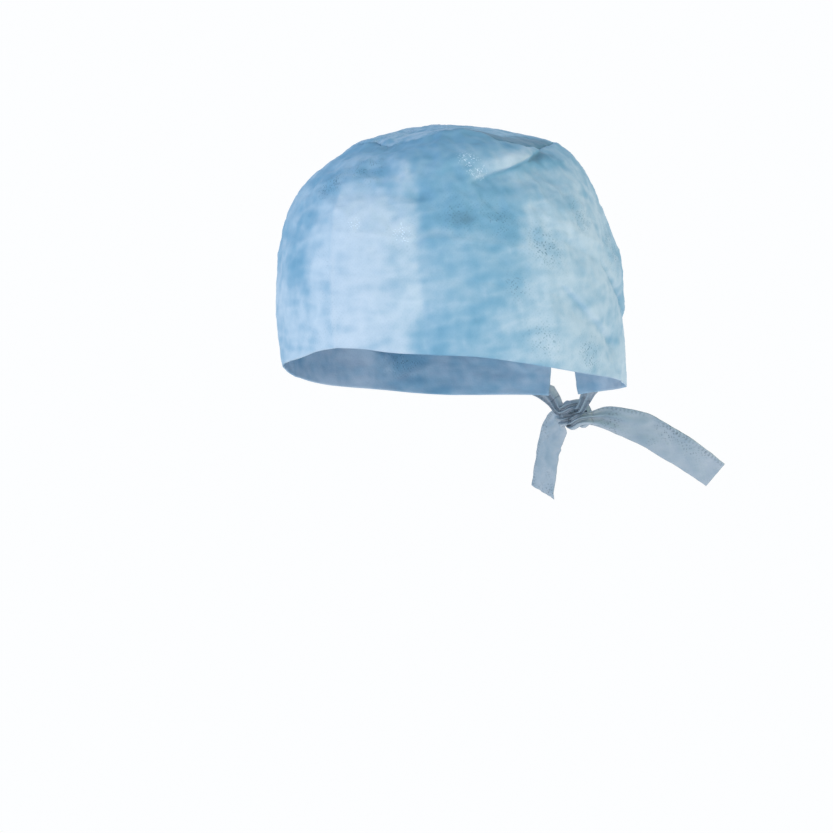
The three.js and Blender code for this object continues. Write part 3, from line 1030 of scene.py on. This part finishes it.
def crown_relief(settings, angle, crown, from_seam):
    """The crown's fine relief in millimetres, with one packing crease each way."""
    pucker = stitch_waves(angle, crown) + ruffle(crown, 4.6, 5) * 0.6
    relief = pucker * fading(from_seam, 8) * gathering(angle, crown) * settings.pucker_depth
    hollows = ruffle(crown, 38, 8) * 1.2 + crumple(crown, 20, 9, 3) * 0.45
    relief += hollows * step(0, 12, from_seam) + crumple(crown, 8, 10) * 0.16
    relief += 0.4 * fading(crown[..., 0], 1.0) + 0.7 * fading(crown[..., 0], 14)
    return relief - 0.35 * fading(crown[..., 1] - CROWN_CROSS_CREASE, 1.1)


def crown_points(settings):
    """The crown's grid from the seam inwards, its angles, its distances from the seam, and the seam."""
    angle, _, base, points = build_panel_points(settings)
    angle, edge, seam = angle[:-1, -1:], base[:-1, -1], points[:-1, -1].copy()
    seam[0] = (points[0, -1] + points[-1, -1]) / 2
    inwards = np.linspace(0, 1, settings.crown_rings + 1)[None, :-1, None]
    crown = mix(edge[:, None], APEX, inwards)
    fall = ((1 - inwards[..., 0]) ** 2 + CROWN_FLAT_TOP) ** (CROWN_ROUNDNESS / 2)
    crown[..., 2] = APEX[2] - (APEX[2] - edge[:, None, 2]) * fall
    from_seam = lengths_along(crown, 1)
    normals = grid_normals(np.concatenate((crown[-1:], crown, crown[:1])))[1:-1]
    crown = crown + normals * crown_relief(settings, angle, crown, from_seam)[..., None]
    crown += (seam - crown[:, 0])[:, None] * fading(from_seam, 2.2)[..., None]
    return crown, angle, from_seam, seam


def crown_tone(angle, crown, from_seam):
    """How pale the crown is painted at each place: random mottle a little darker than the panel's, a
    painted highlight along the seam at the front, and painted deep shade at the left, behind the panel's
    bulge.
    """
    spread = crown * (1, 1, 2)
    tone = crumple(spread, 30, 21, 3) * 0.35 - 0.35
    tone += crumple(spread, 11, 22, 3) * 0.5
    turn = angle + ruffle(crown, 20, 24) * 8
    # A painted highlight along the seam at the front.
    tone += 0.12 * fading(from_seam, 26) * between(turn, -40, 38, soft=20, to_soft=10)
    # Painted deep shade at the left, behind the panel's bulge.
    return tone - 2.6 * fading(from_seam, 15, power=2) * between(turn, 56, 122, soft=14)


def make_crown(settings, material):
    crown, angle, from_seam, seam = crown_points(settings)
    crown = np.concatenate((seam_allowance(seam, CROWN_TUCK)[:, ::-1], crown), axis=1)
    from_seam = np.pad(from_seam, ((0, 0), (len(ALLOWANCE_DEPTHS), 0)))
    tone = crown_tone(angle, crown, from_seam)
    crushed = np.clip(ruffle(crown, 26, 23, 3) * 2.2, 0, 1)
    middle = crown[:, -1].mean(axis=0) + (0, 0, 0.05)
    points = np.concatenate((crown.reshape(-1, 3), middle[None]))
    count, rings = crown.shape[:2]
    inner = np.arange(1, count + 1) * rings - 1
    faces = grid_faces(count, rings, ring=True)
    faces += [(int(a), int(b), count * rings) for a, b in zip(inner, np.roll(inner, -1))]
    piece = mesh_piece(
        "crown_cloth",
        points,
        faces,
        points[:, :2] + CROWN_MAP_SHIFT,
        np.append(tone.ravel(), tone[:, -1].mean()),
        np.append(crushed.ravel(), 0),
    )
    give_thickness(piece, settings.thickness)
    finish_piece(piece, "crown_panel", material)


def lay_on_panel(rings, panel):
    """Moves the start of a strap in or out so that it lies on the panel, with room to spare."""
    around = rings.shape[1]
    front = np.arange(around // 2 + 1)
    back = -front % around
    laid = rings.copy()
    for ring in laid:
        reach = np.abs(ring[:, 0]).max()
        if reach < KNOT_REACH:
            break
        lies = float(step(LIES_FREE, LIES_FLAT, reach))
        for a, b in zip(front, back):
            radii = [float(np.hypot(*ring[k, :2])) for k in (a, b)]
            inner = ring[a if radii[0] < radii[1] else b]
            outwards = Vector((inner[0], inner[1], 0)).normalized()
            hit = panel.ray_cast(Vector((0, 0, inner[2])) + outwards * RAY_START, outwards)[0]
            if hit is None:
                continue
            lift = hit.xy.length + STRAP_CLEARANCE - min(radii)
            lift = max(lift, lift * lies)
            for k in {int(a), int(b)}:
                ring[k] += np.array(outwards) * lift
    return laid


def nearest_ring(rings, rows, i, facing):
    """Which of a strap's rings has its middle nearest one of a table's stations."""
    place = np.array([rows[axis][i] for axis in "xyz"]) * facing
    return np.argmin(np.linalg.norm(rings.mean(axis=1) - place, axis=1))


def make_strap_end(node, rings, maps, lifts, length, material):
    """One end of a strap, outside the knot: its tie on the panel, or its loose tail."""
    piece = strap_piece(f"{node}_cloth", rings, maps, lifts)
    right_way_out(piece)
    finish_piece(piece, node, material)


def make_knot(knots, material):
    """The knot: both straps' middles, as one piece."""
    strands = [strap_piece(f"strand_{i}", *strand) for i, strand in enumerate(knots)]
    for strand in strands:
        right_way_out(strand)
    choose(strands[0])
    strands[1].select_set(True)
    bpy.ops.object.join()
    strands[0].name = strands[0].data.name = "nape_knot_cloth"
    finish_piece(strands[0], "nape_knot", material)


def make_straps(settings, material):
    """Both straps, each cut where it enters the knot and where it leaves it."""
    points = build_panel_points(settings)[3]
    panel = BVHTree.FromPolygons(points.reshape(-1, 3).tolist(), grid_faces(*points.shape[:2]))
    sides = (
        ("left", 1, KNOT_FRONT_FIRST, LEFT_TAIL, 11),
        ("right", -1, KNOT_BACK_FIRST, RIGHT_TAIL, 23),
    )
    knots, knotted = [], 0.0
    for side, mirror, knot, tail, seed in sides:
        stations, facing = strap_stations(knot, tail), (mirror, 1, 1)
        rings, *cloth, length = strap_rings(stations, settings.strap_thickness / MM / 2, seed)
        rings = lay_on_panel(rings * facing, panel)
        into = nearest_ring(rings, STRAP_START, -1, facing)
        out_of = nearest_ring(rings, tail, 0, facing)
        through = slice(into, out_of + 1)
        knots.append([values[through] for values in (rings, *cloth)])
        knotted += float(length[out_of] - length[into]) * MM
        for end, part in (("tie", slice(0, into + 1)), ("tail", slice(out_of, None))):
            parts = [values[part] for values in (rings, *cloth, length)]
            make_strap_end(f"{end}_{side}", *parts, material)
    make_knot(knots, material)


# The camera looks at the cap from its left front, a little from above, with its top leaning to the left.
AZIMUTH = math.radians(35)
ELEVATION = math.radians(5.5)
ROLL = math.radians(6)
DISTANCE = 2.0
FRAME_WIDTH = 0.4365
AIM_RIGHT, AIM_UP = -0.0236, 0.0006
EAR_HEIGHT = -0.020
FLOOR_RADIUS, FLOOR_DEPTH = 2.6, 1.9
LIGHT_AIM = Vector((0, 0, 0.05))


def direction(azimuth, elevation):
    """The way from the cap to something at an azimuth, which starts at the forehead, and an elevation."""
    level = math.cos(elevation)
    return Vector((math.sin(azimuth) * level, -math.cos(azimuth) * level, math.sin(elevation)))


def make_camera(scene):
    """A long lens, aimed a little beside the cap's middle."""
    right = Vector((math.cos(AZIMUTH), math.sin(AZIMUTH), 0))
    back = direction(AZIMUTH, ELEVATION)
    up = back.cross(right)
    aim = Vector((0, 0, EAR_HEIGHT)) + right * AIM_RIGHT + up * AIM_UP
    data = bpy.data.cameras.new("camera")
    data.sensor_width = 36.0
    data.lens = data.sensor_width * DISTANCE / FRAME_WIDTH
    camera = bpy.data.objects.new("camera", data)
    turned_right = right * math.cos(ROLL) - up * math.sin(ROLL)
    turned_up = right * math.sin(ROLL) + up * math.cos(ROLL)
    axes = Matrix((turned_right, turned_up, back)).transposed()
    camera.matrix_world = Matrix.Translation(aim + back * DISTANCE) @ axes.to_4x4()
    scene.collection.objects.link(camera)
    scene.camera = camera


def make_lights(scene):
    """Softboxes, each at an azimuth and elevation round the cap."""
    lights = (
        ("key", 10, 10, 1.7, 0.9, 11, (0.96, 0.93, 0.88)),
        ("fill", 100, 14, 1.9, 1.1, 11, (1.0, 0.96, 0.43)),
        ("side", 290, 30, 1.9, 1.0, 7, (0.45, 0.82, 1.0)),
        ("back", 205, 30, 2.0, 1.2, 7, (0.96, 0.99, 1.0)),
    )
    for name, azimuth, elevation, distance, size, watts, colour in lights:
        data = bpy.data.lights.new(name, "AREA")
        data.shape = "DISK"
        data.size = size
        data.energy = watts
        data.color = colour
        lamp = bpy.data.objects.new(name, data)
        towards = direction(math.radians(azimuth), math.radians(elevation))
        lamp.location = towards * distance + LIGHT_AIM
        lamp.rotation_euler = towards.to_track_quat("Z", "Y").to_euler()
        lamp.visible_camera = False
        scene.collection.objects.link(lamp)
    scene.view_settings.view_transform = "Standard"


def make_studio_walls(scene):
    """The white all-round wall of the studio, which is dimmer overhead."""
    world = bpy.data.worlds.new("studio")
    shader = Shader(world)
    place = shader.node("ShaderNodeTexCoord").outputs["Generated"]
    height = Signal(shader, shader.node("ShaderNodeSeparateXYZ", sockets={0: place}).outputs[2])
    brightness = height.step(0.12, 0.75, start=1.0, end=0.58)
    colour = shader.blend(brightness, (0.40, 0.80, 1.25, 1.0), (0.98, 0.99, 1.0, 1.0))
    wall = shader.node("ShaderNodeBackground", sockets={"Color": colour, "Strength": brightness})
    shader.node("ShaderNodeOutputWorld", sockets={"Surface": wall.outputs[0]})
    scene.world = world


def make_floor(colours):
    """A pale floor, lit from within like a light table, and as far below the cap as below a wearer's."""
    bpy.ops.object.select_all(action="DESELECT")
    place = (0, 0, -FLOOR_DEPTH)
    bpy.ops.mesh.primitive_circle_add(vertices=96, radius=FLOOR_RADIUS, fill_type="NGON", location=place)
    floor = bpy.context.active_object
    floor.name = "studio_floor"
    bpy.ops.object.transform_apply(location=True)
    material = bpy.data.materials.new("studio paper")
    shader = Shader(material)
    grain = shader.noise(shader.node("ShaderNodeTexCoord").outputs["Object"], scale=3.0)
    colour = shader.blend(grain, linear(colours.floor), linear(colours.floor, 1.02))
    paper = shader.node(
        "ShaderNodeBsdfPrincipled",
        sockets={
            "Base Color": colour,
            "Roughness": 0.9,
            "Emission Color": (1.0, 0.9, 0.8, 1.0),
            "Emission Strength": 0.68,
        },
    )
    shader.node("ShaderNodeOutputMaterial", sockets={"Surface": paper.outputs[0]})
    floor.data.materials.append(material)


OPERATORS = (SCRUBCAP_OT_stage, SCRUBCAP_OT_side_panel, SCRUBCAP_OT_crown, SCRUBCAP_OT_straps)
CLASSES = (ClothSettings, ColourSettings, *OPERATORS, SCRUBCAP_PT_panel)


def register():
    for made in CLASSES:
        bpy.utils.register_class(made)
    bpy.types.Scene.scrub_cap_cloth = bpy.props.PointerProperty(type=ClothSettings)
    bpy.types.Scene.scrub_cap_colours = bpy.props.PointerProperty(type=ColourSettings)


def unregister():
    del bpy.types.Scene.scrub_cap_colours
    del bpy.types.Scene.scrub_cap_cloth
    for made in reversed(CLASSES):
        bpy.utils.unregister_class(made)


def main():
    """Makes the stage and every piece."""
    register()
    bpy.ops.scrub_cap.stage()
    bpy.ops.scrub_cap.side_panel()
    bpy.ops.scrub_cap.crown()
    bpy.ops.scrub_cap.straps()


if __name__ == "__main__":
    main()
